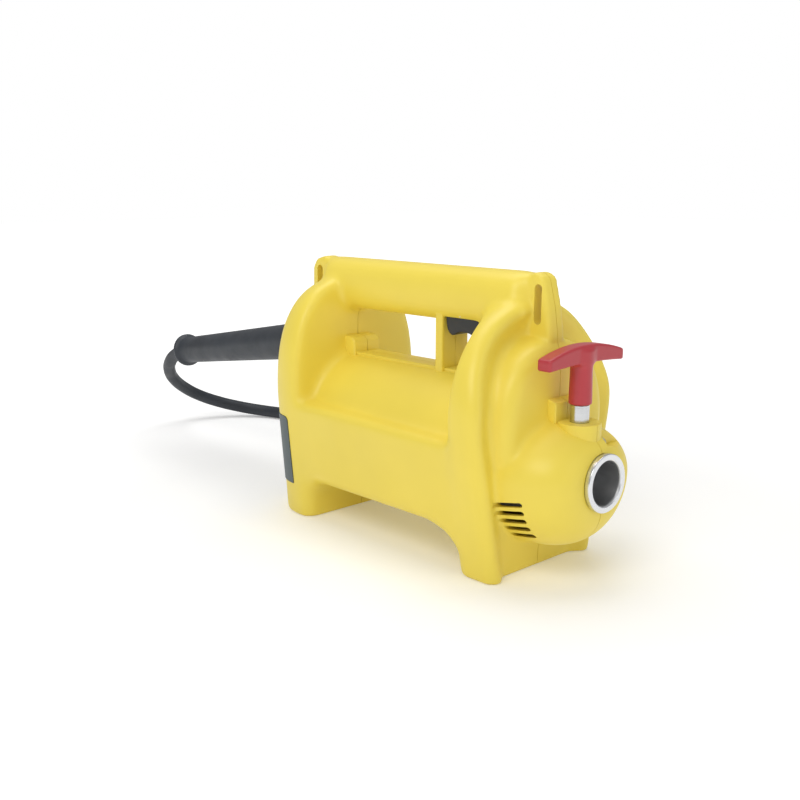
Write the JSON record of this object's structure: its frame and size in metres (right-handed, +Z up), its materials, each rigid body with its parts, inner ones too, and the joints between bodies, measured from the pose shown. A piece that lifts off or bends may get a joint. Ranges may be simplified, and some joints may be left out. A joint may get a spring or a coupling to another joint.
{
  "type": "concrete vibrator drive unit",
  "caption": "Portable electric drive unit of a concrete vibrator: shells with arched ends and a top handle, round nose with a red T-handle lock, and a mains lead in a long boot.",
  "frame": {"origin": "on the floor under the middle of the unit, midway between the filter cover's rear face and the coupling ring's front face, on the parting plane of the housing halves; the boot and the lead are not counted", "axes": "+X towards the coupling nose, +Z up, Y across the unit"},
  "size_m": [0.6567, 0.3743, 0.22],
  "materials": {
    "yellow_shell": "fine-textured satin moulding",
    "filter_grey": "matte slate grey moulding",
    "filter_foam": "open-cell foam",
    "black_plastic": "satin black moulding",
    "black_rubber": "satin blue-black rubber",
    "white_plastic": "plain off-white",
    "red_plastic": "satin red moulding",
    "bright_steel": "bright turned steel",
    "machined_aluminium": "bright machined face",
    "lamination": "stacked electrical steel sheet",
    "copper": null,
    "carbon": "pressed carbon"
  },
  "bodies": {
    "housing": {"right_housing": "yellow_shell", "left_housing": "yellow_shell", "filter_foam": "filter_foam", "switch_body": "black_plastic", "fan_baffle": "black_plastic", "left_brush_holder": "black_plastic", "right_brush_holder": "black_plastic", "cord_clamp_base": "black_plastic", "cord_clamp_saddle": "black_plastic", "cable_boot": "black_rubber", "cord_lead_in": "black_rubber", "cord_run": "black_rubber", "cord_coil": "black_rubber", "cord_tail": "black_rubber", "plug_body": "black_rubber", "live_wire": "black_rubber", "terminal_block": "white_plastic", "neutral_wire": "white_plastic", "lock_bush": "bright_steel", "lock_spring": "bright_steel", "rocker_pin": "bright_steel", "rear_bearing_outer": "bright_steel", "front_bearing_outer": "bright_steel", "left_brush_spring": "bright_steel", "right_brush_spring": "bright_steel", "cord_clamp_screw_1": "bright_steel", "cord_clamp_screw_2": "bright_steel", "plug_pin_1": "bright_steel", "plug_pin_2": "bright_steel", "housing_screw_1": "bright_steel", "housing_screw_2": "bright_steel", "housing_screw_3": "bright_steel", "housing_screw_4": "bright_steel", "housing_screw_5": "bright_steel", "housing_screw_6": "bright_steel", "housing_screw_7": "bright_steel", "housing_screw_8": "bright_steel", "housing_screw_9": "bright_steel", "coupling_sleeve": "machined_aluminium", "front_bearing_bracket": "machined_aluminium", "rear_bearing_bracket": "machined_aluminium", "capacitor": "machined_aluminium", "stator_core": "lamination", "upper_field_coil": "copper", "lower_field_coil": "copper"},
    "armature": {"armature_shaft": "bright_steel", "armature_core": "lamination", "front_winding": "copper", "rear_winding": "copper", "commutator": "copper", "cooling_fan": "black_plastic", "drive_socket": "bright_steel", "rear_bearing_inner": "bright_steel", "front_bearing_inner": "bright_steel"},
    "lock": {"lock_handle": "red_plastic", "lock_pin": "bright_steel"},
    "rocker": {"switch_rocker": "black_plastic"},
    "filter": {"filter_cover": "filter_grey"},
    "left_brush": {"left_carbon_brush": "carbon"},
    "right_brush": {"right_carbon_brush": "carbon"}
  },
  "joints": [
    {"name": "armature_spin", "type": "hinge", "parent": "housing", "child": "armature", "pos_m": [0, 0, 0.0768], "axis": [1, 0, 0], "continuous": true},
    {"name": "lock_slide", "type": "slide", "parent": "housing", "child": "lock", "axis": [0, 0, 1], "range_m": [0, 0.008], "stiffness_N_per_m": 900, "springref_m": -0.004, "deforming": ["lock_spring"]},
    {"name": "switch_rock", "type": "hinge", "parent": "housing", "child": "rocker", "pos_m": [0.0293, 0, 0.184], "axis": [0, 1, 0], "range_deg": [0, 9]},
    {"name": "filter_cover_slide", "type": "slide", "parent": "housing", "child": "filter", "axis": [-1, 0, 0], "range_m": [0, 0.025]},
    {"name": "left_brush_slide", "type": "slide", "parent": "housing", "child": "left_brush", "axis": [0, 1, 0], "range_m": [0, 0.004], "stiffness_N_per_m": 120, "springref_m": -0.006, "deforming": ["left_brush_spring"]},
    {"name": "right_brush_slide", "type": "slide", "parent": "housing", "child": "right_brush", "axis": [0, -1, 0], "range_m": [0, 0.004], "stiffness_N_per_m": 120, "springref_m": -0.006, "deforming": ["right_brush_spring"]}
  ]
}
